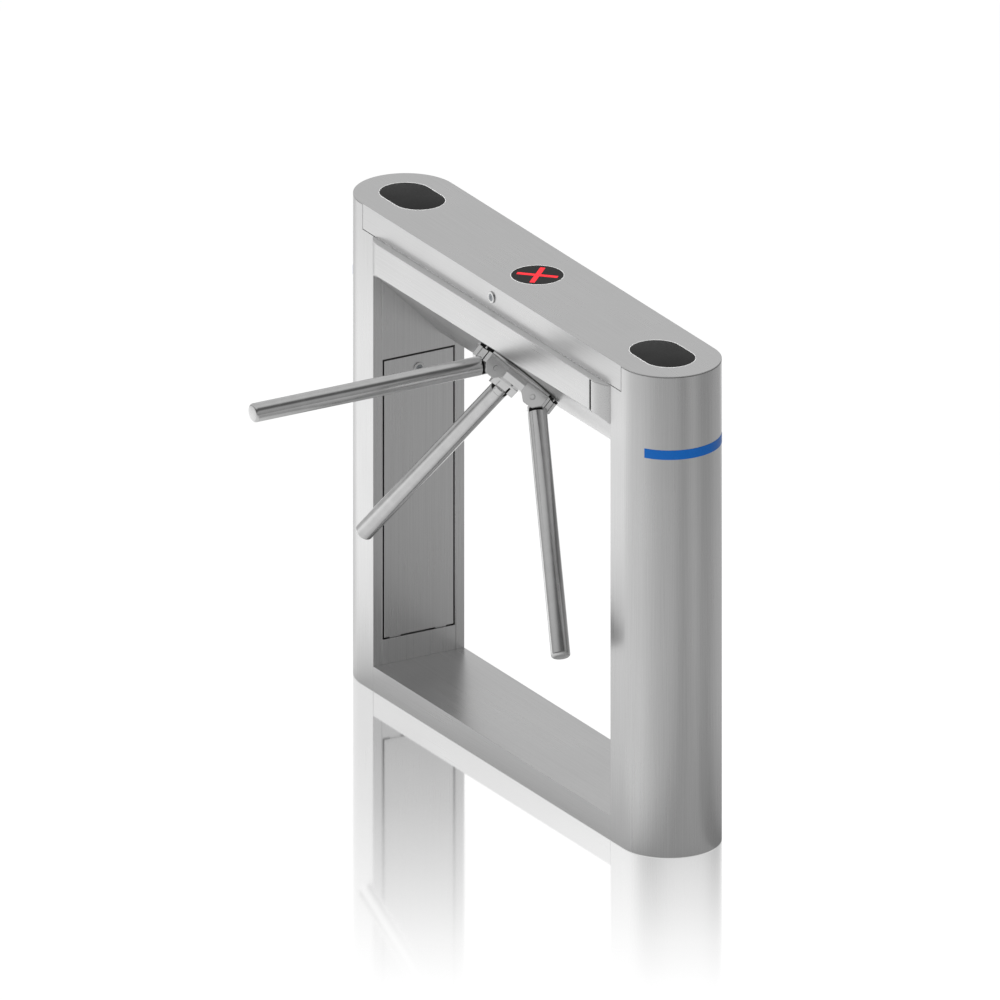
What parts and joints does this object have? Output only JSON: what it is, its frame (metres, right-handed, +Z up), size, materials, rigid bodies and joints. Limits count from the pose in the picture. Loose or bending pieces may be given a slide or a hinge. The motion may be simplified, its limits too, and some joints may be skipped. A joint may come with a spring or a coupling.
{
  "type": "tripod turnstile",
  "caption": "Tripod turnstile: a slim bridge cabinet on two half-round posts, with a tilted hub of swinging arms, a hinged lid with reader windows, and lockable access doors.",
  "frame": {"origin": "middle of the footprint, on the floor", "axes": "+X along the cabinet towards the end with the short cover, -Y the side the arms stand out on, +Z up"},
  "size_m": [1.2008, 0.725, 0.9804],
  "materials": {
    "sheet": "satin brushed stainless sheet",
    "polished": "polished stainless",
    "machined": "turned and milled steel",
    "plated": "zinc-plated steel",
    "window": "smoked gloss acrylic",
    "red_light": "lit red diffuser",
    "marker": "blue gloss vinyl",
    "board": "green circuit board",
    "bezel": "clear silicone bead",
    "black_trim": "black nylon"
  },
  "bodies": {
    "cabinet": {"left_post_shell": "sheet", "right_post_shell": "sheet", "left_inner_panel": "sheet", "right_inner_panel": "sheet", "left_anchor_plate": "plated", "right_anchor_plate": "plated", "floor_channel": "sheet", "floor_cover": "plated", "left_stripe": "marker", "right_stripe": "marker", "housing": "sheet", "front_cover": "sheet", "end_cover": "sheet", "lid_keeper": "plated", "mechanism_plate": "plated", "bearing_housing": "machined", "front_bearing": "machined", "rear_bearing": "machined", "mechanism_frame": "plated", "left_solenoid": "plated", "right_solenoid": "plated", "power_supply": "plated", "controller": "board", "lid_hinge_fixed": "plated"},
    "rotor": {"main_shaft": "polished", "index_wheel": "machined", "hub_flange": "polished", "hub_casting": "polished", "arm_knuckle_1": "polished", "arm_knuckle_2": "polished", "arm_knuckle_3": "polished", "arm_pin_1": "polished", "arm_pin_2": "polished", "arm_pin_3": "polished", "arm_tube_1": "polished", "arm_tube_2": "polished", "arm_tube_3": "polished"},
    "lid": {"lid": "sheet", "lid_hinge_leaf": "plated", "lid_barrel": "polished", "left_window": "window", "right_window": "window", "left_bezel": "bezel", "right_bezel": "bezel", "indicator_lens": "window", "indicator_bezel": "bezel", "indicator_cross": "red_light"},
    "lid_lock": {"lid_plug": "machined"},
    "left_door": {"left_door": "sheet", "left_door_barrel": "polished"},
    "left_lock": {"left_door_plug": "machined"},
    "right_door": {"right_door": "sheet", "right_door_barrel": "polished"},
    "right_lock": {"right_door_plug": "machined"},
    "left_pawl": {"left_pawl": "machined"},
    "right_pawl": {"right_pawl": "machined"},
    "left_plunger": {"left_plunger": "polished"},
    "right_plunger": {"right_plunger": "polished"}
  },
  "joints": [
    {"name": "hub_turn", "type": "hinge", "parent": "cabinet", "child": "rotor", "pos_m": [0, -0.012, 0.82], "axis": [0, -0.7071, -0.7071], "continuous": true},
    {"name": "lid_hinge", "type": "hinge", "parent": "cabinet", "child": "lid", "pos_m": [0, 0.095, 0.92], "axis": [-1, 0, 0], "range_deg": [0, 80]},
    {"name": "left_door_tilt", "type": "hinge", "parent": "cabinet", "child": "left_door", "pos_m": [-0.4508, 0, 0.1035], "axis": [0, 1, 0], "range_deg": [0, 20]},
    {"name": "right_door_tilt", "type": "hinge", "parent": "cabinet", "child": "right_door", "pos_m": [0.4508, 0, 0.1035], "axis": [0, -1, 0], "range_deg": [0, 20]},
    {"name": "lid_lock_turn", "type": "hinge", "parent": "lid", "child": "lid_lock", "pos_m": [0, -0.1, 0.954], "axis": [0, -1, 0], "range_deg": [0, 90]},
    {"name": "left_lock_turn", "type": "hinge", "parent": "left_door", "child": "left_lock", "pos_m": [-0.45, 0, 0.639], "axis": [1, 0, 0], "range_deg": [0, 90]},
    {"name": "right_lock_turn", "type": "hinge", "parent": "right_door", "child": "right_lock", "pos_m": [0.45, 0, 0.639], "axis": [1, 0, 0], "range_deg": [0, 90]},
    {"name": "left_pawl_swing", "type": "hinge", "parent": "cabinet", "child": "left_pawl", "pos_m": [-0.082, 0.04315, 0.83556], "axis": [0, 0.7071, 0.7071], "range_deg": [0, 8.8]},
    {"name": "right_pawl_swing", "type": "hinge", "parent": "cabinet", "child": "right_pawl", "pos_m": [0.082, 0.04315, 0.83556], "axis": [0, -0.7071, -0.7071], "range_deg": [0, 8.8]},
    {"name": "left_plunger_pull", "type": "slide", "parent": "cabinet", "child": "left_plunger", "axis": [0, -0.7071, 0.7071], "range_m": [0, 0.0066]},
    {"name": "right_plunger_pull", "type": "slide", "parent": "cabinet", "child": "right_plunger", "axis": [0, -0.7071, 0.7071], "range_m": [0, 0.0066]}
  ],
  "couplings": [
    {"joint": "left_plunger_pull", "follows": "left_pawl_swing", "m_per_rad": 0.042},
    {"joint": "right_plunger_pull", "follows": "right_pawl_swing", "m_per_rad": 0.042}
  ]
}
